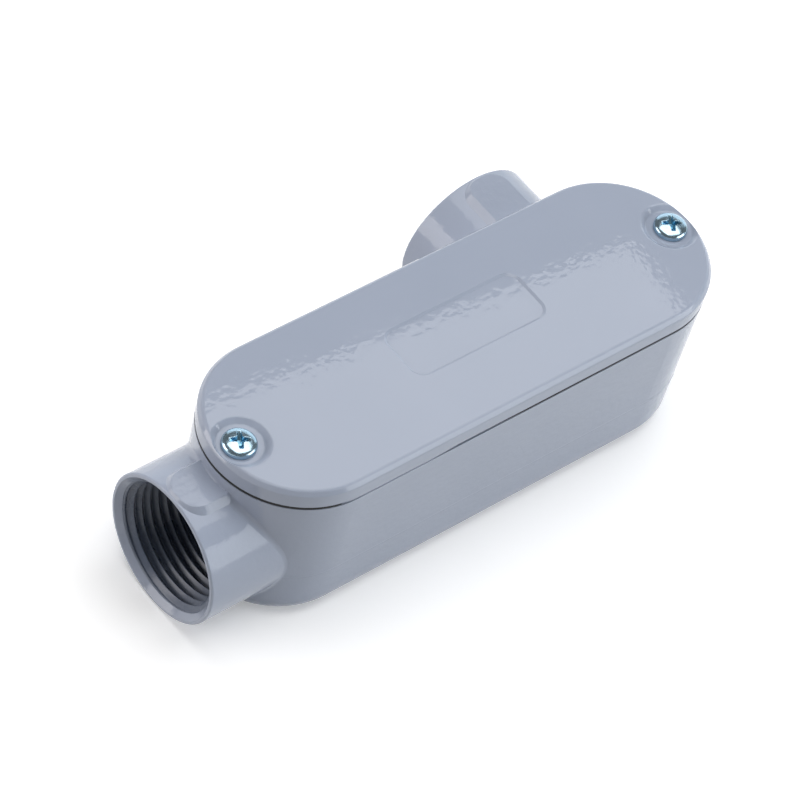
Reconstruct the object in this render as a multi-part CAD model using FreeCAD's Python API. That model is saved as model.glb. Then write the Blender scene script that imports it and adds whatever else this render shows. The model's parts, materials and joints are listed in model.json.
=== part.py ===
import FreeCAD, Part
import math
import os

Vec = FreeCAD.Vector
origin = Vec(0, 0, 0)
along_x = Vec(1, 0, 0)
along_y = Vec(0, 1, 0)
along_z = Vec(0, 0, 1)

# Outline shared by the tray, the gasket and the cover: a rectangle with half-round ends
cover_length = 112.15
cover_width = 36.25

# Hubs for 3/4 inch conduit; the wall of a hub ends at the root of its thread
thread_root_radius = 13.0
hub_wall = 1.8
thread_length = 13.5
mouth_chamfer = 1.05
lip_round = 0.4
bushing_radius = 10.4
bushing_length = 2.5
bushing_round = 0.9
end_hub_reach = 8.55
side_hub_reach = 14.6
side_hub_inset = 24.0
hub_lift = 0.1
hub_root_fillet = 1.2

# Blank pad for a set screw on the upper side of each hub
pad_width = 8.6
pad_rise = 0.55
pad_setback = 0.8
pad_corner = 3.6
pad_edge_round = 0.3
pad_side_depth = 1.4
pad_side_slope = 35.0

# Cast tray
wall = 2.6
floor = 2.6
wall_above_hubs = 2.95
wall_draft = 1.0
back_edge_round = 4.6
inner_edge_round = 2.0
collar_width = 2.0
collar_rise = 1.1
boss_radius = 3.9
boss_height = 5.0

# Gasket
gasket_thickness = 0.75
gasket_setback = 1.0
gasket_width = 2.6

# Cast cover
cover_thickness = 4.0
cover_edge_round = 0.8
cover_band = 2.9
cover_band_round = 0.6
cover_shoulder_slope = 35.0
cover_seat_width = 4.6
cover_pocket_depth = 2.0
cover_pocket_round = 0.8
spot_face_radius = 4.5
spot_face_shift = 0.3
spot_face_depth = 0.9
spot_face_wall = 1.1
spot_face_round = 0.6
label_length = 31.9
label_width = 12.1
label_depth = 0.3
label_bevel = 0.5
label_corner = 3.0
label_shift_x = 1.35
label_shift_y = 0.95

# Cover screws, number 6, pan head with a cross recess
screw_inset = 4.7
screw_length = 7.9
screw_radius = 1.75
screw_tip_chamfer = 0.5
head_radius = 3.3
head_height = 1.8
head_edge_height = 0.4
recess_turn = 60.0
recess_length = 3.9
recess_width = 0.9
recess_depth = 1.2
screw_fit = 0.05
screw_clearance = 0.3
screw_tip_clearance = 0.5

# Sizes that follow from the ones above
overshoot = 1.0
match_tolerance = 1e-4
hub_radius = thread_root_radius + hub_wall
hub_height = hub_lift + hub_radius
tray_height = hub_height + hub_radius + wall_above_hubs
half_width = cover_width / 2
half_span = cover_length / 2 - half_width
cover_base = tray_height + gasket_thickness
cover_top = cover_base + cover_thickness
end_mouth_x = -(cover_length / 2 + end_hub_reach)
cavity_start_x = end_mouth_x + thread_length + bushing_length
side_mouth_y = half_width + side_hub_reach
side_hub_x = cover_length / 2 - side_hub_inset
side_collar_y = half_width - wall - collar_rise
screw_x = cover_length / 2 - screw_inset
head_seat = cover_top - spot_face_depth
screw_tip = head_seat - screw_length


def rounded_face(corners):
    # Flat face in the XZ plane from corners (x, z, radius), each corner with its own rounding
    count = len(corners)
    points = [Vec(x, 0, z) for x, z, radius in corners]
    edges = []
    entries = []
    exits = []
    for i in range(count):
        here = points[i]
        back = (points[i - 1] - here).normalize()
        ahead = (points[(i + 1) % count] - here).normalize()
        radius = corners[i][2]
        if radius == 0:
            entries.append(here)
            exits.append(here)
            continue
        half_angle = back.getAngle(ahead) / 2
        run = radius / math.tan(half_angle)
        entry = here + back * run
        leave = here + ahead * run
        middle = here + (back + ahead).normalize() * (radius / math.sin(half_angle) - radius)
        edges.append(Part.Arc(entry, middle, leave).toShape())
        entries.append(entry)
        exits.append(leave)
    for i in range(count):
        start = exits[i]
        end = entries[(i + 1) % count]
        if start.distanceToPoint(end) > match_tolerance:
            edges.append(Part.LineSegment(start, end).toShape())
    return Part.Face(Part.Wire(Part.__sortEdges__(edges)))


def fused(first, others):
    return first.fuse(others).removeSplitter()


def turned(shape, degrees, shift):
    copy = shape.copy()
    copy.rotate(origin, along_z, degrees)
    copy.translate(shift)
    return copy


def stadium_solid(profile, span):
    # A half section (distance from the middle line, height) carried round the outline:
    # swept straight along both sides and turned through half a circle at both ends
    section = rounded_face(profile)
    half_turn = section.revolve(origin, along_z, 180)
    far_end = turned(half_turn, -90, Vec(span, 0, 0))
    near_end = turned(half_turn, 90, Vec(-span, 0, 0))
    run = Vec(2 * span, 0, 0)
    left = turned(section, 90, Vec(-span, 0, 0)).extrude(run)
    right = turned(section, -90, Vec(-span, 0, 0)).extrude(run)
    return fused(far_end, [near_end, left, right])


def drafted_profile(rim_radius, base, top, edge_round):
    # Section of a wall that leans in towards the back, with a rounded edge there
    slope = math.tan(math.radians(wall_draft))
    base_radius = rim_radius - slope * (tray_height - base)
    top_radius = rim_radius + slope * (top - tray_height)
    return [(0, base, 0), (base_radius, base, edge_round), (top_radius, top, 0), (0, top, 0)]


def turned_about_x(profile):
    # Profile (distance from the mouth, radius) turned about the hub's axis, mouth at the origin
    return rounded_face(profile).revolve(origin, along_x, 360)


def place_at_end(shape):
    return turned(shape, 0, Vec(end_mouth_x, 0, hub_height))


def place_at_side(shape):
    return turned(shape, -90, Vec(side_hub_x, side_mouth_y, hub_height))


def hub_barrel(length):
    return turned_about_x([(0, 0, 0), (0, hub_radius, lip_round), (length, hub_radius, 0), (length, 0, 0)])


def hub_bore(exit_depth):
    # Chamfered mouth, thread root, then a smaller bushing with a rounded edge towards the wires
    mouth_radius = thread_root_radius + mouth_chamfer
    flare_radius = bushing_radius + bushing_round
    return turned_about_x([
        (-overshoot, 0, 0),
        (-overshoot, mouth_radius, 0),
        (0, mouth_radius, 0),
        (mouth_chamfer, thread_root_radius, 0),
        (thread_length, thread_root_radius, 0),
        (thread_length, bushing_radius, 0),
        (exit_depth, bushing_radius, bushing_round),
        (exit_depth, flare_radius, 0),
        (exit_depth + overshoot, flare_radius, 0),
        (exit_depth + overshoot, 0, 0),
    ])


def plaque(length, width, corner, height, growth, rise):
    # Rounded rectangle at one height carried up to another, larger or smaller by the growth all round
    rims = []
    for grow, z in ((0, height), (growth, height + rise)):
        half_x = length / 2 + grow
        half_y = width / 2 + grow
        rim = rounded_face([(-half_x, -half_y, corner + grow), (half_x, -half_y, corner + grow),
                            (half_x, half_y, corner + grow), (-half_x, half_y, corner + grow)])
        rim.rotate(origin, along_x, 90)
        rim.translate(along_z * z)
        rims.append(rim.OuterWire)
    return Part.makeLoft(rims, True, True)


def hub_pad(depth):
    # Flat-topped tongue with sloping sides and a blunt nose, set back a little from the mouth;
    # its rounded tail ends inside the tray
    rise = pad_rise + pad_side_depth
    spread = rise * math.tan(math.radians(pad_side_slope))
    length = depth - pad_setback + pad_corner
    tongue = plaque(length + 2 * spread, pad_width + 2 * spread, pad_corner + spread,
                    hub_radius - pad_side_depth, -spread, rise)
    tongue.translate(along_x * (pad_setback + length / 2))
    top_edges = [e for e in tongue.Edges if e.BoundBox.ZMin > hub_radius]
    tongue = tongue.makeFillet(pad_edge_round, top_edges)
    behind_lip = Part.makeBox(2 * depth, cover_width, 2 * hub_radius, Vec(lip_round, -half_width, 0))
    return tongue.common(behind_lip)


def hub_root_edges(shape, axis_point, axis):
    # The closed line where a hub's barrel runs into the tray wall
    found = []
    for edge in shape.Edges:
        if edge.Curve.TypeId == "Part::GeomLine":
            continue
        on_barrel = True
        for share in (0.1, 0.5, 0.9):
            first, last = edge.ParameterRange
            offset = edge.valueAt(first + share * (last - first)) - axis_point
            depth = offset.dot(axis)
            radius = (offset - axis * depth).Length
            if abs(radius - hub_radius) > match_tolerance or depth < 2 * lip_round:
                on_barrel = False
        if on_barrel:
            found.append(edge)
    return found


def cylinder(radius, base, top, x):
    return Part.makeCylinder(radius, top - base, Vec(x, 0, base))


def make_body():
    shell = stadium_solid(drafted_profile(half_width, 0, tray_height, back_edge_round), half_span)
    end_hub_depth = -half_span - end_mouth_x
    end_hub = place_at_end(hub_barrel(end_hub_depth))
    side_hub = place_at_side(hub_barrel(side_mouth_y))
    outside = fused(shell, [end_hub, side_hub])
    roots = hub_root_edges(outside, Vec(end_mouth_x, 0, hub_height), along_x)
    roots += hub_root_edges(outside, Vec(side_hub_x, side_mouth_y, hub_height), along_y * -1)
    outside = outside.makeFillet(hub_root_fillet, roots)
    pads = [place_at_end(hub_pad(end_hub_depth)), place_at_side(hub_pad(side_mouth_y))]
    outside = fused(outside, pads)

    hollow = stadium_solid(drafted_profile(half_width - wall, floor, tray_height + overshoot,
                                           inner_edge_round), half_span)
    beyond_hub = Part.makeBox(cover_length, cover_width, tray_height + overshoot,
                              Vec(cavity_start_x, -half_width, 0))
    body = outside.cut(hollow.common(beyond_hub))

    bosses = [cylinder(boss_radius, tray_height - boss_height, tray_height, x) for x in (-screw_x, screw_x)]
    collar = Part.makeCylinder(bushing_radius + collar_width, half_width - side_collar_y,
                               Vec(side_hub_x, side_collar_y, hub_height), along_y)
    inside = [piece.common(shell) for piece in bosses + [collar]]
    body = fused(body, inside)

    cuts = [place_at_end(hub_bore(cavity_start_x - end_mouth_x)),
            place_at_side(hub_bore(side_mouth_y - side_collar_y))]
    for x in (-screw_x, screw_x):
        cuts.append(cylinder(screw_radius + screw_fit, screw_tip - screw_tip_clearance,
                             tray_height + overshoot, x))
    return body.cut(cuts)


def make_gasket():
    outer = half_width - gasket_setback
    section = [(0, tray_height, 0), (outer, tray_height, 0), (outer, cover_base, 0), (0, cover_base, 0)]
    sheet = stadium_solid(section, half_span)
    opening_radius = outer - gasket_width
    opening = stadium_solid([(0, tray_height - overshoot, 0), (opening_radius, tray_height - overshoot, 0),
                             (opening_radius, cover_base + overshoot, 0), (0, cover_base + overshoot, 0)],
                            half_span)
    ears = [cylinder(boss_radius, tray_height, cover_base, x).common(sheet) for x in (-screw_x, screw_x)]
    ring = fused(sheet.cut(opening), ears)
    holes = [cylinder(screw_radius + screw_clearance, tray_height - overshoot, cover_base + overshoot, x)
             for x in (-screw_x, screw_x)]
    return ring.cut(holes)


def spot_face():
    # Turned cutter: flat seat, sloping wall rounded into the seat and out to the cover's face
    lip_radius = spot_face_radius + spot_face_wall
    slope = math.atan2(spot_face_depth, spot_face_wall)
    reach = lip_radius + spot_face_round * math.tan(slope / 2)
    return rounded_face([
        (0, head_seat, 0),
        (spot_face_radius, head_seat, spot_face_round),
        (lip_radius, cover_top, spot_face_round),
        (reach, cover_top, 0),
        (reach, cover_top + overshoot, 0),
        (0, cover_top + overshoot, 0),
    ]).revolve(origin, along_z, 360)


def make_cover():
    lean = (cover_thickness - cover_band) * math.tan(math.radians(cover_shoulder_slope))
    plate = stadium_solid([
        (0, cover_base, 0),
        (half_width, cover_base, 0),
        (half_width, cover_base + cover_band, cover_band_round),
        (half_width - lean, cover_top, cover_edge_round),
        (0, cover_top, 0),
    ], half_span)
    pocket_radius = half_width - cover_seat_width
    pocket_span = screw_x - boss_radius - pocket_radius
    pocket_top = cover_base + cover_pocket_depth
    pocket = stadium_solid([
        (0, cover_base - overshoot, 0),
        (pocket_radius, cover_base - overshoot, 0),
        (pocket_radius, pocket_top, cover_pocket_round),
        (0, pocket_top, 0),
    ], pocket_span)
    # The bevel of the label field runs on above the cover, so its floor is smaller by one bevel
    label = plaque(label_length - 2 * label_bevel, label_width - 2 * label_bevel, label_corner - label_bevel,
                   cover_top - label_depth, 2 * label_bevel, 2 * label_depth)
    label.translate(Vec(label_shift_x, label_shift_y, 0))
    cuts = [pocket, label]
    for side in (-1, 1):
        cuts.append(cylinder(screw_radius + screw_clearance, cover_base - overshoot, cover_top, side * screw_x))
        cuts.append(turned(spot_face(), 0, Vec(side * (screw_x - spot_face_shift), 0, 0)))
    return plate.cut(cuts)


def make_screw(x):
    # Turned blank: blunt tip, shank, pan head with a low dome, then the cross recess
    head_top = head_seat + head_height
    dome_round = head_height - head_edge_height
    blank = rounded_face([
        (0, screw_tip, 0),
        (screw_radius - screw_tip_chamfer, screw_tip, 0),
        (screw_radius, screw_tip + screw_tip_chamfer, 0),
        (screw_radius, head_seat, 0),
        (head_radius, head_seat, 0),
        (head_radius, head_top, dome_round),
        (0, head_top, 0),
    ]).revolve(origin, along_z, 360)
    arm = Part.makeBox(recess_length, recess_width, recess_depth + overshoot,
                       Vec(-recess_length / 2, -recess_width / 2, head_top - recess_depth))
    cross = arm.fuse(turned(arm, 90, origin))
    return turned(blank.cut(cross), recess_turn, Vec(x, 0, 0))


pieces = {
    "body": make_body(),
    "gasket": make_gasket(),
    "cover": make_cover(),
    "cover_screw_hub_end": make_screw(-screw_x),
    "cover_screw_far_end": make_screw(screw_x),
}
os.makedirs("parts", exist_ok=True)
for name, shape in pieces.items():
    shape.exportStep("parts/" + name + ".step")
    print(name, shape.isValid(), len(shape.Solids), "solid,", round(shape.Volume / 1000, 2), "cm3")
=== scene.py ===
import json
import bmesh
import bpy
import numpy as np
from mathutils import Matrix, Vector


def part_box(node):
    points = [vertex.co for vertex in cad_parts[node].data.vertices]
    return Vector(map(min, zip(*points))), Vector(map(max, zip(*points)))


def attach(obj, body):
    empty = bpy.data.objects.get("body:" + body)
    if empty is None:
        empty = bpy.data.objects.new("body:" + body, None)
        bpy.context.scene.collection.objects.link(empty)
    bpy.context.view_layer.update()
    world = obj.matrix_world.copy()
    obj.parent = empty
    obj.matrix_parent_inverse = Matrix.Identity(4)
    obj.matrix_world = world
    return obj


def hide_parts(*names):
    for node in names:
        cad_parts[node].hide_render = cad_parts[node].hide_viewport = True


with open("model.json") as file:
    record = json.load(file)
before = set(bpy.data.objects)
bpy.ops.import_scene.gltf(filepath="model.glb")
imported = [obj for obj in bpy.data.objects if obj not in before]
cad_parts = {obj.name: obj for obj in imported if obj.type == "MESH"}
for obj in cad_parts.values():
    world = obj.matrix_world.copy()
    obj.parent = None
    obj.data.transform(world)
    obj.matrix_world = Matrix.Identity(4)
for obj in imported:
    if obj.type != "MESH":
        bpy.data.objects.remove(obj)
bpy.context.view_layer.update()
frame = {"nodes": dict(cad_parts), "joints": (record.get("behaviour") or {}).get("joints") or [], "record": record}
cadNodes = frame["nodes"]
mounts = {m["name"]: m for m in frame["record"]["mounts"]}
joints = {j["name"]: j for j in frame["joints"]}
mm = 0.001
print("frame loaded:", ", ".join(sorted(cadNodes)))


def linearColour(hexText):
    # sRGB hex to linear light
    srgb = np.array([int(hexText[i:i + 2], 16) for i in (1, 3, 5)]) / 255
    light = np.where(srgb <= 0.04045, srgb / 12.92, ((srgb + 0.055) / 1.055) ** 2.4)
    return (*light.tolist(), 1.0)


def greyColour(level):
    return (level, level, level, 1.0)


def addNode(tree, kind, sockets=None, **settings):
    # one node with its settings; a socket takes a value or a link from another node's output
    made = tree.nodes.new(kind)
    for name, value in settings.items():
        setattr(made, name, value)
    for name, value in (sockets or {}).items():
        if isinstance(value, bpy.types.NodeSocket):
            tree.links.new(value, made.inputs[name])
        else:
            made.inputs[name].default_value = value
    return made


def newMaterial(name):
    made = bpy.data.materials.new(name)
    made.use_nodes = True
    made.node_tree.nodes.clear()
    return made, made.node_tree


def patternScale(sizeMm):
    # scale of a pattern whose features are about sizeMm across
    return 1 / (sizeMm * mm)


rangeEnds = "From Min", "From Max", "To Min", "To Max"  # sockets of a map range, in order


def smoothStep(low, high, x):
    # 0 below low, 1 above high, with a smooth S between
    t = np.clip((x - low) / (high - low), 0, 1)
    return t * t * (3 - 2 * t)


meshing = dict(mergeMetres=1e-7, sliverMetres=1e-8)


def ringMesh(name, rings, shareEnds, sharpDegrees, climb=0):
    # rings is (rows, columns, 3): each row is a closed loop of points, joined to the next row by quads.
    # shareEnds also joins the last row to the first, and a row shrunk to one point becomes a pole.
    # On a screw thread every row but the first and last closes onto the row that lies climb rows on.
    rows, columns, _ = rings.shape
    index = np.arange(rows * columns).reshape(rows, columns)
    ahead = np.roll(index, -1, 1)
    if climb:
        ahead[1:-1, -1] = index[np.minimum(np.arange(1, rows - 1) + climb, rows - 2), 0]
    quads = np.stack([index, ahead, np.roll(ahead, -1, 0), np.roll(index, -1, 0)], -1)
    quads = (quads if shareEnds else quads[:-1]).reshape(-1, 4)
    points = rings.reshape(-1, 3)
    a, b, c, d = (points[quads[:, k]] for k in range(4))
    volume = np.einsum("ij,ij->", a, np.cross(b, c)) + np.einsum("ij,ij->", a, np.cross(c, d))
    if volume < 0:  # faces have to point outwards
        quads = quads[:, ::-1]
    mesh = bpy.data.meshes.new(name)
    mesh.from_pydata(points.tolist(), [], quads.tolist())
    work = bmesh.new()
    work.from_mesh(mesh)
    bmesh.ops.remove_doubles(work, verts=work.verts, dist=meshing["mergeMetres"])
    bmesh.ops.dissolve_degenerate(work, edges=work.edges, dist=meshing["sliverMetres"])
    work.to_mesh(mesh)
    work.free()
    mesh.polygons.foreach_set("use_smooth", np.ones(len(mesh.polygons), bool))
    mesh.set_sharp_from_angle(angle=np.radians(sharpDegrees))
    made = bpy.data.objects.new(name, mesh)
    bpy.context.scene.collection.objects.link(made)
    return made


def pointPlaces(made, origin):
    # places of all points of a mesh, in mm from the origin
    places = np.empty(3 * len(made.data.vertices), np.float32)
    made.data.vertices.foreach_get("co", places)
    return (places.reshape(-1, 3).astype(float) - origin) / mm


def markPoints(made, name, values):
    # a value at every point, which a finish reads as an attribute
    made.data.attributes.new(name, "FLOAT", "POINT").data.foreach_set("value", values.astype(np.float32))


# Gloss polyester powder coat on cast aluminium: cool light grey, with the slow waviness called orange peel
# that frays the edges of reflections, a few dust nibs under the skin, and a fine grain drawn coarse enough
# to show
powderCoat = dict(colour="#a8b0c1", shade="#a2abbc", ior=1.43, patchMm=22, patchDetail=2.0,
                  cloudMm=5, cloudDetail=3.0, cloudSpan=(0.3, 0.7), grainMm=0.45, grainDetail=1.0,
                  nibEveryMm=9, nibRadiusMm=0.2, nibHeightMm=0.02)
# the cover's smooth face mirrors the lights
coverSkin = dict(powderCoat, name="greyPowderCoatOnSmoothCover", roughness=(0.008, 0.02), peelMm=1.5,
                 peelDetail=1.5, peelHeightMm=0.0065, grainHeightMm=0.00005)
# the as-cast tray is wavier
traySkin = dict(powderCoat, name="greyPowderCoatOnCastTray", ior=1.38, roughness=(0.02, 0.05), peelMm=1.6,
                peelDetail=3.0, peelHeightMm=0.07, grainHeightMm=0.0012)
# the cut thread takes the same powder coat, a little darker, and turns much darker a short way in: painted shade
# inside the hub's bore
threadSkin = dict(powderCoat, name="powderCoatWithPaintedShadeOnThread", colour="#a0a8b8", shade="#98a0b0",
                  deep="#5e6778", roughness=(0.22, 0.36), peelMm=1.1, peelDetail=1.5, peelHeightMm=0.012,
                  grainHeightMm=0.003)


def makePowderCoat(p):
    made, tree = newMaterial(p["name"])
    place = addNode(tree, "ShaderNodeTexCoord").outputs["Object"]
    noise = {}
    for look in ("patch", "cloud", "peel", "grain"):
        sockets = {"Vector": place, "Scale": patternScale(p[look + "Mm"]), "Detail": p[look + "Detail"]}
        noise[look] = addNode(tree, "ShaderNodeTexNoise", sockets).outputs["Fac"]
    sockets = {0: noise["patch"], 6: linearColour(p["shade"]), 7: linearColour(p["colour"])}
    colour = addNode(tree, "ShaderNodeMix", sockets, data_type="RGBA").outputs[2]
    # painted shade: a finish with a deep colour turns to it where the depth mark rises
    if "deep" in p:
        depth = addNode(tree, "ShaderNodeAttribute", attribute_name="depth").outputs["Fac"]
        sockets = {0: depth, 6: colour, 7: linearColour(p["deep"])}
        colour = addNode(tree, "ShaderNodeMix", sockets, data_type="RGBA").outputs[2]
    sockets = {"Value": noise["cloud"], **dict(zip(rangeEnds, (*p["cloudSpan"], *p["roughness"])))}
    rough = addNode(tree, "ShaderNodeMapRange", sockets).outputs[0]
    sockets = {"Vector": place, "Scale": patternScale(p["nibEveryMm"])}
    cells = addNode(tree, "ShaderNodeTexVoronoi", sockets).outputs["Distance"]
    nibSpan = 0.0, p["nibRadiusMm"] / p["nibEveryMm"], 1.0, 0.0  # full height in the middle of a cell
    sockets = {"Value": cells, **dict(zip(rangeEnds, nibSpan))}
    nib = addNode(tree, "ShaderNodeMapRange", sockets).outputs[0]
    normal = {}
    for height, heightMm in ((noise["peel"], p["peelHeightMm"]), (noise["grain"], p["grainHeightMm"]),
                             (nib, p["nibHeightMm"])):
        bump = addNode(tree, "ShaderNodeBump", {"Height": height, "Distance": heightMm * mm, **normal})
        normal = {"Normal": bump.outputs[0]}
    sockets = {"Base Color": colour, "Roughness": rough, "IOR": p["ior"], **normal}
    coat = addNode(tree, "ShaderNodeBsdfPrincipled", sockets)
    addNode(tree, "ShaderNodeOutputMaterial", {"Surface": coat.outputs[0]})
    return made


# Sheet neoprene, calendered: near black, dull, with a fine dusty grain drawn coarse enough to show
neoprene = dict(colour="#111214", dust="#1c1d20", grainMm=0.25, grainDetail=4.0, grainHeightMm=0.01,
                roughness=0.75)


def makeNeoprene():
    p = neoprene
    made, tree = newMaterial("blackNeopreneSheet")
    place = addNode(tree, "ShaderNodeTexCoord").outputs["Object"]
    sockets = {"Vector": place, "Scale": patternScale(p["grainMm"]), "Detail": p["grainDetail"]}
    grain = addNode(tree, "ShaderNodeTexNoise", sockets).outputs["Fac"]
    sockets = {0: grain, 6: linearColour(p["colour"]), 7: linearColour(p["dust"])}
    colour = addNode(tree, "ShaderNodeMix", sockets, data_type="RGBA").outputs[2]
    bump = addNode(tree, "ShaderNodeBump", {"Height": grain, "Distance": p["grainHeightMm"] * mm})
    sockets = {"Base Color": colour, "Roughness": p["roughness"], "Normal": bump.outputs[0]}
    rubber = addNode(tree, "ShaderNodeBsdfPrincipled", sockets)
    addNode(tree, "ShaderNodeOutputMaterial", {"Surface": rubber.outputs[0]})
    return made


# Bright zinc plate with a clear blue chromate on steel: mirror bright, with a blue cast that deepens
# in the recess, where the chromate pools
zincPlate = dict(bright="#b9cfdc", blue="#9cbccf", pooled="#86b6cd", cloudMm=0.9, cloudDetail=3.0,
                 cloudSpan=(0.3, 0.7), roughness=(0.14, 0.26), dimpleMm=0.8, dimpleDetail=1.0,
                 dimpleHeightMm=0.02)


def makeZincPlate():
    p = zincPlate
    made, tree = newMaterial("blueZincPlateBright")
    place = addNode(tree, "ShaderNodeTexCoord").outputs["Object"]
    noise = {}
    for look in ("cloud", "dimple"):
        sockets = {"Vector": place, "Scale": patternScale(p[look + "Mm"]), "Detail": p[look + "Detail"]}
        noise[look] = addNode(tree, "ShaderNodeTexNoise", sockets).outputs["Fac"]
    sockets = {0: noise["cloud"], 6: linearColour(p["bright"]), 7: linearColour(p["blue"])}
    tint = addNode(tree, "ShaderNodeMix", sockets, data_type="RGBA").outputs[2]
    recess = addNode(tree, "ShaderNodeAttribute", attribute_name="recess").outputs["Fac"]
    sockets = {0: recess, 6: tint, 7: linearColour(p["pooled"])}
    colour = addNode(tree, "ShaderNodeMix", sockets, data_type="RGBA").outputs[2]
    sockets = {"Value": noise["cloud"], **dict(zip(rangeEnds, (*p["cloudSpan"], *p["roughness"])))}
    rough = addNode(tree, "ShaderNodeMapRange", sockets).outputs[0]
    bump = addNode(tree, "ShaderNodeBump", {"Height": noise["dimple"], "Distance": p["dimpleHeightMm"] * mm})
    sockets = {"Base Color": colour, "Metallic": 1.0, "Roughness": rough, "Normal": bump.outputs[0]}
    zinc = addNode(tree, "ShaderNodeBsdfPrincipled", sockets)
    addNode(tree, "ShaderNodeOutputMaterial", {"Surface": zinc.outputs[0]})
    return made


trayCoat = makePowderCoat(traySkin)
coverCoat = makePowderCoat(coverSkin)
threadCoat = makePowderCoat(threadSkin)
blackNeoprene = makeNeoprene()
blueZinc = makeZincPlate()
for nodeName, finish in (("body", trayCoat), ("cover", coverCoat), ("gasket", blackNeoprene)):
    cadNodes[nodeName].material_slots[0].material = finish
print("finishes: powder coat on body and cover, neoprene on gasket, zinc on screws")


# Tapered conduit thread inside each hub, cut 14 to the inch. The mount starts mouthMm inside the hub's
# mouth, and over a short stretch at the start of the cut the colour darkens to painted shade inside the bore
conduitThread = dict(pitchMm=25.4 / 14, crestMm=12.0, mouthMm=1.05, startMm=1.07, endMm=13.45,
                     fadeInMm=(1.1, 1.9), fadeOutMm=(12.6, 13.4), taper=1 / 32, rootGapMm=0.02,
                     edgeGapMm=0.005, rootFlat=0.05, crestFlat=0.05, rowsPerPitch=20, columns=180,
                     sharpDegrees=50, paintedShadeRampMm=0.5)


def makeConduitThread(name, mount):
    # Radius = root less a ridge whose height follows a trapezoid wave of (depth / pitch - turn). Every row
    # of the grid runs along the helix, so the crest edges stay crisp, and depth is clipped at both ends
    p = conduitThread
    wallMm = mount["dims"]["r_mm"]
    inward = -np.array(mount["axis"], float)
    side = np.cross(inward, [0, 0, 1.0])
    rise = np.cross(inward, side)
    mouth = np.array(mount["pos_m"]) - inward * (mount["dims"]["length_mm"] / 2 + p["mouthMm"]) * mm
    turn = np.linspace(0, 1, p["columns"], endpoint=False)[None]
    rowCount = int((p["endMm"] - p["startMm"]) / p["pitchMm"] + 2) * p["rowsPerPitch"]
    pitches = np.arange(rowCount)[:, None] / p["rowsPerPitch"]
    depth = np.clip(p["startMm"] + p["pitchMm"] * (pitches - 1 + turn), p["startMm"], p["endMm"])
    wave = 1 - np.abs(2 * (pitches % 1) - 1)
    ridge = np.clip((wave - p["rootFlat"]) / (1 - p["rootFlat"] - p["crestFlat"]), 0, 1)
    fade = smoothStep(*p["fadeInMm"], depth) * (1 - smoothStep(*p["fadeOutMm"], depth))
    root = wallMm - p["rootGapMm"]
    radius = root - fade * (ridge * (root - p["crestMm"]) + p["taper"] * depth)
    edge = np.full((1, p["columns"]), wallMm - p["edgeGapMm"])
    depth = np.concatenate([0 * edge + p["startMm"], depth, 0 * edge + p["endMm"]])
    radius = np.concatenate([edge, radius, edge])
    angle = 2 * np.pi * turn
    points = mouth + mm * (inward * depth[..., None] + side * (radius * np.cos(angle))[..., None]
                           + rise * (radius * np.sin(angle))[..., None])
    made = ringMesh(name, points, True, p["sharpDegrees"], p["rowsPerPitch"])
    inside = pointPlaces(made, mouth) @ inward
    # painted shade: 0 at the thread's start, rising to 1 (the deep colour) a short way in
    markPoints(made, "depth", smoothStep(p["startMm"], p["startMm"] + p["paintedShadeRampMm"], inside))
    made.data.materials.append(threadCoat)
    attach(made, "box")
    return made


for name in ("end_hub", "side_hub"):
    made = makeConduitThread(name + "_thread", mounts[name])
    print("thread:", made.name, len(made.data.polygons), "faces")


# Cover screw: pan head with a cross recess, rolled thread 32 to the inch; the chromate pools in what lies
# at least poolShare of the recess deep
coverScrew = dict(edgeMm=0.4, domePower=2.6, turnDegrees=60, wingMm=2.0, wingFlatMm=0.55, wingHalfMm=0.45,
                  wingTaper=0.05, recessMm=1.25, hubMm=0.95, softMm=0.09, pitchMm=25.4 / 32, threadMm=0.42,
                  rootFlat=0.1, flankShare=0.75, shankMm=1.75, tipMm=0.5, neckMm=0.5, runInMm=0.6,
                  shankStartMm=0.02, underMm=0.12, poolShare=0.5, poolAboveMm=0.1, poolReach=1.2,
                  headRows=91, headSpacing=0.9, sideRows=5, underRows=6, shankRows=130, columns=180,
                  sharpDegrees=45)


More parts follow.
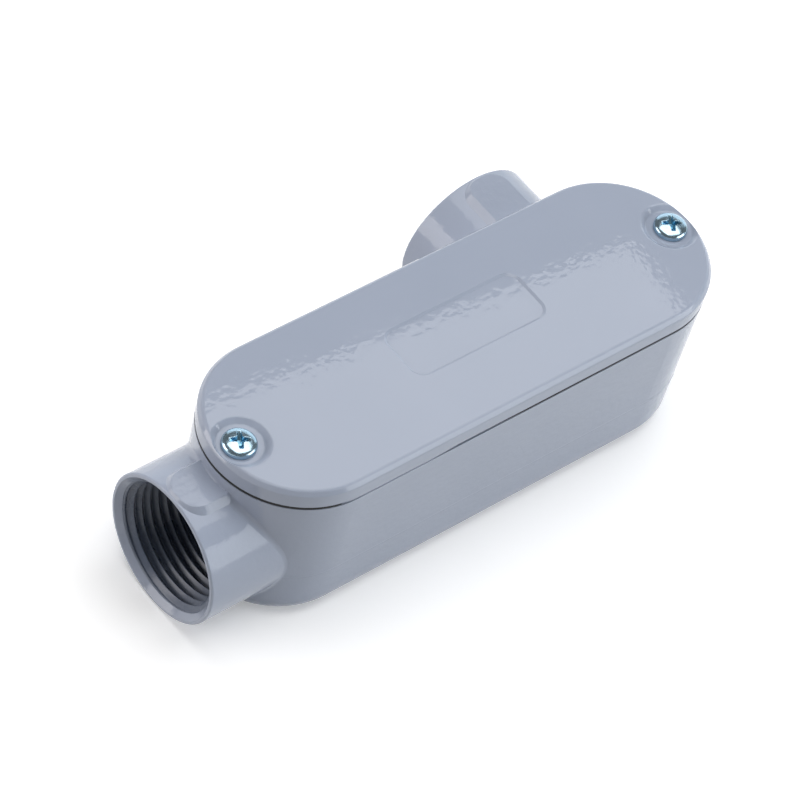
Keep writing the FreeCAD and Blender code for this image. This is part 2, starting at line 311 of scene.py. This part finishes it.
def makeCoverScrew(name, nodeName, joint):
    # A profile from the middle of the head, over its dome and side, under the head and down the shank to
    # the tip, turned about the axis. The cross is cut into the dome's height and the thread into the
    # shank's radius
    p = coverScrew
    low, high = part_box(nodeName)
    axis = np.array(joint["pos_m"])
    headMm = (high.x - low.x) / 2 / mm
    topMm = (high.z - axis[2]) / mm
    tipMm = (low.z - axis[2]) / mm

    def domeHeight(out):
        # superellipse from the edge of the head to its top
        share = np.clip(1 - (out / headMm) ** p["domePower"], 0, 1) ** (1 / p["domePower"])
        return p["edgeMm"] + (topMm - p["edgeMm"]) * share

    angle = np.linspace(0, 2 * np.pi, p["columns"], endpoint=False)[None]
    out = headMm * np.linspace(0, 1, p["headRows"])[:, None] ** p["headSpacing"]
    x = out * np.cos(angle - np.radians(p["turnDegrees"]))
    y = out * np.sin(angle - np.radians(p["turnDegrees"]))
    cut = np.clip((p["hubMm"] - out) / (p["hubMm"] - p["wingHalfMm"]), 0, 1) + 0 * x
    for along, across in ((np.abs(x), np.abs(y)), (np.abs(y), np.abs(x))):
        deep = np.clip((p["wingMm"] - along) / (p["wingMm"] - p["wingFlatMm"]), 0, 1)
        half = p["wingHalfMm"] - p["wingTaper"] * along
        cut = np.maximum(cut, deep * (1 - smoothStep(half - p["softMm"], half + p["softMm"], across)))
    head = np.stack([out + 0 * x, domeHeight(out) - p["recessMm"] * cut], -1)
    drop = np.linspace(p["edgeMm"], p["underMm"], p["sideRows"])[1:]
    seat = np.linspace(headMm - p["underMm"], p["shankMm"], p["underRows"])
    side = np.concatenate([np.stack([0 * drop + headMm, drop], -1), np.stack([seat, 0 * seat], -1)])
    side = np.repeat(side[:, None], p["columns"], 1)
    height = np.linspace(-p["shankStartMm"], tipMm, p["shankRows"])[:, None]
    phase = (height / p["pitchMm"] - angle / (2 * np.pi)) % 1
    ridge = np.clip((1 - np.abs(2 * phase - 1) - p["rootFlat"]) / p["flankShare"], 0, 1)
    threaded = smoothStep(p["neckMm"], p["neckMm"] + p["runInMm"], -height)
    radius = p["shankMm"] - p["threadMm"] * threaded * (1 - ridge)
    radius = np.minimum(radius, p["shankMm"] - p["tipMm"] + (height - tipMm))
    shank = np.stack([radius, height + 0 * radius], -1)
    tip = np.zeros((1, p["columns"], 2))
    tip[..., 1] = tipMm
    profile = np.concatenate([head, side, shank, tip])
    flat, up = profile[..., 0], profile[..., 1]
    points = axis + mm * np.stack([flat * np.cos(angle), flat * np.sin(angle), up], -1)
    made = ringMesh(name, points, False, p["sharpDegrees"])
    spots = pointPlaces(made, axis)
    flat = np.hypot(spots[:, 0], spots[:, 1])
    sunk = np.clip((domeHeight(flat) - spots[:, 2]) / (p["poolShare"] * p["recessMm"]), 0, 1)
    inRecess = (spots[:, 2] > p["poolAboveMm"]) & (flat < p["poolReach"] * p["wingMm"])
    markPoints(made, "recess", np.where(inRecess, sunk, 0))
    made.data.materials.append(blueZinc)
    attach(made, joint["child"])
    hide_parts(nodeName)
    return made


for end in ("hub_end", "far_end"):
    made = makeCoverScrew("pan_screw_" + end, "cover_screw_" + end, joints[end + "_screw_turn"])
    print("screw:", made.name, len(made.data.polygons), "faces")


# Parting line: the low ridge left round the tray's wall where the two halves of the die met; it stops at
# the hubs
partingLine = dict(heightMm=12.0, draftDegrees=1.0, halfWidthMm=0.22, proudMm=0.032, sunkMm=0.1, stepMm=1.0,
                   sections=12, taperMm=1.0, sharpDegrees=60, endHubYMm=13.4, sideHubXMm=(18.2, 44.6))


def stadiumPath(start, end, radius, span, step):
    # Points and outward directions along an outline of half-round ends joined by straight sides. Distance
    # is in mm from the middle of the far end, anticlockwise. What of it lies on the sides slides the centre
    # of the round from end to end, and the rest, divided by the radius, turns the direction
    quarter = np.pi * radius / 2
    lap = np.linspace(start, end, int((end - start) / step) + 2) % (4 * quarter + 4 * span)
    back = np.clip(lap - quarter, 0, 2 * span)
    front = np.clip(lap - 3 * quarter - 2 * span, 0, 2 * span)
    turn = (lap - back - front) / radius
    facing = np.stack([np.cos(turn), np.sin(turn)], -1)
    centre = np.stack([span - back + front, 0 * lap], -1)
    return centre + radius * facing, facing


def makeRidge(name, p, start, end, radius, span):
    # A lens section (height from the wall = proud height times the cosine of its place) along the outline,
    # shrunk to a point at both ends
    place, facing = stadiumPath(start, end, radius, span, p["stepMm"])
    around = np.linspace(0, 2 * np.pi, p["sections"], endpoint=False)[None]
    along = np.linspace(0, end - start, len(place))[:, None]
    size = np.clip(np.minimum(along, end - start - along) / p["taperMm"], 0, 1)
    outward = np.where(np.cos(around) > 0, p["proudMm"], p["sunkMm"]) * np.cos(around) * size
    upward = p["halfWidthMm"] * np.sin(around) * size
    flat = place[:, None] + facing[:, None] * outward[..., None]
    points = mm * np.concatenate([flat, (p["heightMm"] + upward)[..., None]], -1)
    made = ringMesh(name, points, False, p["sharpDegrees"])
    made.data.materials.append(trayCoat)
    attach(made, "box")
    return made


coverLow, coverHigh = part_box("cover")
gasketLow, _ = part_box("gasket")
rimRadius = coverHigh.y / mm
wallSpan = coverHigh.x / mm - rimRadius  # half the length of the straight sides
wallLean = np.tan(np.radians(partingLine["draftDegrees"])) * (gasketLow.z / mm - partingLine["heightMm"])
wallRadius = rimRadius - wallLean
quarterMm = np.pi * wallRadius / 2
lapMm = 4 * quarterMm + 4 * wallSpan
middleMm = lapMm / 2  # the middle of the end hub
hubArcMm = wallRadius * np.arcsin(partingLine["endHubYMm"] / wallRadius)
sideArcMm = wallRadius * np.arccos((partingLine["sideHubXMm"][1] - wallSpan) / wallRadius)
sideRunMm = quarterMm + wallSpan - partingLine["sideHubXMm"][0]
for name, start, end in (("back_parting_line", sideRunMm, middleMm - hubArcMm),
                         ("front_parting_line", middleMm + hubArcMm, lapMm + sideArcMm)):
    made = makeRidge(name, partingLine, start, end, wallRadius, wallSpan)
    print("parting line:", made.name, len(made.data.polygons), "faces")


# Rim flash: the tray's cast edge stands up to the cover along one stretch of the front side, frontMm from
# its middle, where the joint looks closed
jointMm = np.array([gasketLow.z, coverLow.z]) / mm
rimFlash = dict(radiusMm=17.98, proudMm=0.09, sunkMm=0.6, gapMm=0.02, stepMm=1.0, sections=16, taperMm=6.0,
                sharpDegrees=60, frontMm=(-42.0, -15.0))
rimFlash.update(heightMm=jointMm.mean(), halfWidthMm=np.ptp(jointMm) / 2 - rimFlash["gapMm"])
frontMiddleMm = 3 * (np.pi * rimFlash["radiusMm"] / 2 + wallSpan)
start, end = frontMiddleMm + np.array(rimFlash["frontMm"])
made = makeRidge("rim_flash", rimFlash, start, end, rimFlash["radiusMm"], wallSpan)
print("rim flash:", made.name, len(made.data.polygons), "faces")


# Gasket lip: a black neoprene strip in the joint under the cover, out near the cover's edge, so the joint shows
# black; it lies back behind the rim flash
gasketLip = dict(insideMm=16.9, outsideMm=18.06, backMm=17.0, gapMm=0.02, roundShare=0.22, stepMm=1.0,
                 sections=24, sharpDegrees=60, backFromMm=(-42.0, -38.0), backToMm=(-22.0, 2.0))


def makeGasketLip(name, span, lowMm, highMm):
    # A rounded box section (both coordinates a power of cosine and sine) along the outline of the cover,
    # with its outer edge pulled back along one stretch of the front side
    p = gasketLip
    roundMm = 2 * np.pi * p["outsideMm"] + 4 * span
    place, facing = stadiumPath(0, roundMm, p["outsideMm"], span, p["stepMm"])
    place, facing = place[:-1, None], facing[:-1, None]
    along, isFront = place[..., 0], place[..., 1] < 0
    back = smoothStep(*p["backFromMm"], along) * (1 - smoothStep(*p["backToMm"], along)) * isFront
    outside = p["outsideMm"] + (p["backMm"] - p["outsideMm"]) * back
    around = np.linspace(0, 2 * np.pi, p["sections"], endpoint=False)[None]
    flat, rise = (np.sign(f) * np.abs(f) ** p["roundShare"] for f in (np.cos(around), np.sin(around)))
    reach = (outside + p["insideMm"]) / 2 + flat * (outside - p["insideMm"]) / 2
    height = (lowMm + highMm) / 2 + rise * ((highMm - lowMm) / 2 - p["gapMm"])
    spots = place + facing * (reach - p["outsideMm"])[..., None]
    points = mm * np.concatenate([spots, (height + 0 * reach)[..., None]], -1)
    made = ringMesh(name, points, True, p["sharpDegrees"])
    made.data.materials.append(blackNeoprene)
    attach(made, "box")
    return made


made = makeGasketLip("gasket_lip", wallSpan, *jointMm)
print("gasket lip:", made.name, len(made.data.polygons), "faces")


# Studio: white table, one overhead softbox and three upright ones, in a dim room; metres, watts and degrees
studio = dict(tableMetres=6.0, tableDropMm=0.1, tableWhite=1.0, tablePlain=0.62, tableGlow=(0.25, 1.0),
              glowFromMetres=(0.5, 1.6), roomGlow=(0.1, 0.05), roomBreak=(0.45, 0.55), roomBehind=1.0,
              roomInMetal=0.12)
overheadSoftbox = dict(centre=(0.18, 0.0602, 1.0), size=(1.136, 1.0505), turn=-5.6, power=9.3, tint=(1, 1, 1))
uprightSoftboxes = [
    dict(centre=(0.57, -0.82, 0.31), size=(0.8, 0.58), power=5.3, tint=(0.94, 0.975, 1)),
    dict(centre=(-0.83, 0.556, 0.31), size=(0.7, 0.5), power=4.8, tint=(1, 0.95, 0.93)),
    dict(centre=(0.75, 0.6, 0.31), size=(1.4, 0.6), power=3.0, tint=(0.86, 0.94, 1))]


def makeTable():
    p = studio
    half = p["tableMetres"] / 2
    mesh = bpy.data.meshes.new("table")
    corners = [(x * half, y * half, -p["tableDropMm"] * mm) for x, y in ((-1, -1), (1, -1), (1, 1), (-1, 1))]
    mesh.from_pydata(corners, [], [(0, 1, 2, 3)])
    table = bpy.data.objects.new("table", mesh)
    bpy.context.scene.collection.objects.link(table)
    made, tree = newMaterial("whiteTable")
    # rays that show the table (camera, mirror, glass) see it glowing a little under the shadow and white
    # far off; its bounce on the object is plain
    place = addNode(tree, "ShaderNodeTexCoord").outputs["Object"]
    away = addNode(tree, "ShaderNodeVectorMath", {0: place}, operation="LENGTH").outputs["Value"]
    sockets = {"Value": away, **dict(zip(rangeEnds, (*p["glowFromMetres"], *p["tableGlow"])))}
    strength = addNode(tree, "ShaderNodeMapRange", sockets).outputs[0]
    rays = addNode(tree, "ShaderNodeLightPath").outputs
    seen = rays["Is Camera Ray"]
    for kind in ("Is Glossy Ray", "Is Transmission Ray"):
        seen = addNode(tree, "ShaderNodeMath", {0: seen, 1: rays[kind]}, operation="MAXIMUM").outputs[0]
    plain = addNode(tree, "ShaderNodeBsdfDiffuse", {"Color": greyColour(p["tablePlain"])})
    white = addNode(tree, "ShaderNodeBsdfDiffuse", {"Color": greyColour(p["tableWhite"])})
    glow = addNode(tree, "ShaderNodeEmission", {"Color": greyColour(1.0), "Strength": strength})
    shown = addNode(tree, "ShaderNodeAddShader", {0: white.outputs[0], 1: glow.outputs[0]})
    mix = addNode(tree, "ShaderNodeMixShader", {0: seen, 1: plain.outputs[0], 2: shown.outputs[0]})
    addNode(tree, "ShaderNodeOutputMaterial", {"Surface": mix.outputs[0]})
    mesh.materials.append(made)


def makeRoom():
    world = bpy.data.worlds.new("studioRoom")
    bpy.context.scene.world = world
    world.use_nodes = True
    tree = world.node_tree
    tree.nodes.clear()
    direction = addNode(tree, "ShaderNodeTexCoord").outputs["Generated"]
    height = addNode(tree, "ShaderNodeSeparateXYZ", {0: direction}).outputs["Z"]
    sockets = {"Value": height, **dict(zip(rangeEnds, (*studio["roomBreak"], *studio["roomGlow"])))}
    glow = addNode(tree, "ShaderNodeMapRange", sockets).outputs[0]
    # the camera sees white behind the table, and metal the pale walls of the room, which light the object
    # little
    rays = addNode(tree, "ShaderNodeLightPath").outputs
    for kind, extra in (("Is Camera Ray", studio["roomBehind"]), ("Is Glossy Ray", studio["roomInMetal"])):
        sockets = {0: rays[kind], 1: extra, 2: glow}
        glow = addNode(tree, "ShaderNodeMath", sockets, operation="MULTIPLY_ADD").outputs[0]
    room = addNode(tree, "ShaderNodeBackground", {"Color": greyColour(1.0), "Strength": glow})
    addNode(tree, "ShaderNodeOutputWorld", {"Surface": room.outputs[0]})


def standAt(name, data, right, up, place):
    # a lamp or camera at its place, looking away from its back, which is right x up
    holder = bpy.data.objects.new(name, data)
    axes = np.stack([right, up, np.cross(right, up), place], -1)
    holder.matrix_world = Matrix([*axes.tolist(), [0, 0, 0, 1]])
    bpy.context.scene.collection.objects.link(holder)
    return holder


def makeSoftbox(name, box, right, up):
    lamp = bpy.data.lights.new(name, "AREA")
    lamp.shape = "RECTANGLE"
    lamp.size, lamp.size_y = box["size"]
    lamp.energy = box["power"]
    lamp.color = box["tint"]
    standAt(name, lamp, right, up, np.array(box["centre"]))


def makeStudio():
    makeTable()
    makeRoom()
    turn = np.radians(overheadSoftbox["turn"])
    right = np.array([np.cos(turn), np.sin(turn), 0])
    makeSoftbox("overheadSoftbox", overheadSoftbox, right, np.array([-right[1], right[0], 0]))
    for number, box in enumerate(uprightSoftboxes):
        back = np.array([box["centre"][0], box["centre"][1], 0]) / np.hypot(*box["centre"][:2])
        makeSoftbox("uprightSoftbox%d" % number, box, np.cross([0, 0, 1], back), np.array([0, 0, 1.0]))


# Camera: where it stands round the object, in degrees and mm
cameraPlace = dict(azimuth=-51.322, elevation=49.568, roll=16.591, distanceMm=708.93, lensMm=172.253,
                   sensorMm=36, nearMm=50, aimMm=(-0.375, -0.2, 17.8), aimRightMm=-7.696, aimUpMm=-0.261)


def makeCamera():
    p = cameraPlace
    az, el, roll = np.radians([p["azimuth"], p["elevation"], p["roll"]])
    back = np.array([np.sin(az) * np.cos(el), -np.cos(az) * np.cos(el), np.sin(el)])
    level = np.cross(-back, [0, 0, 1.0])
    level /= np.linalg.norm(level)
    upright = np.cross(level, -back)
    right = np.cos(roll) * level + np.sin(roll) * upright
    up = -np.sin(roll) * level + np.cos(roll) * upright
    aim = np.array(p["aimMm"]) + right * p["aimRightMm"] + up * p["aimUpMm"]
    camera = bpy.data.cameras.new("camera")
    camera.lens = p["lensMm"]
    camera.sensor_width = p["sensorMm"]
    camera.clip_start = p["nearMm"] * mm
    place = (aim + back * p["distanceMm"]) * mm
    bpy.context.scene.camera = standAt("camera", camera, right, up, place)


makeStudio()
makeCamera()
bpy.context.scene.view_settings.view_transform = "Standard"
print("studio and camera set")
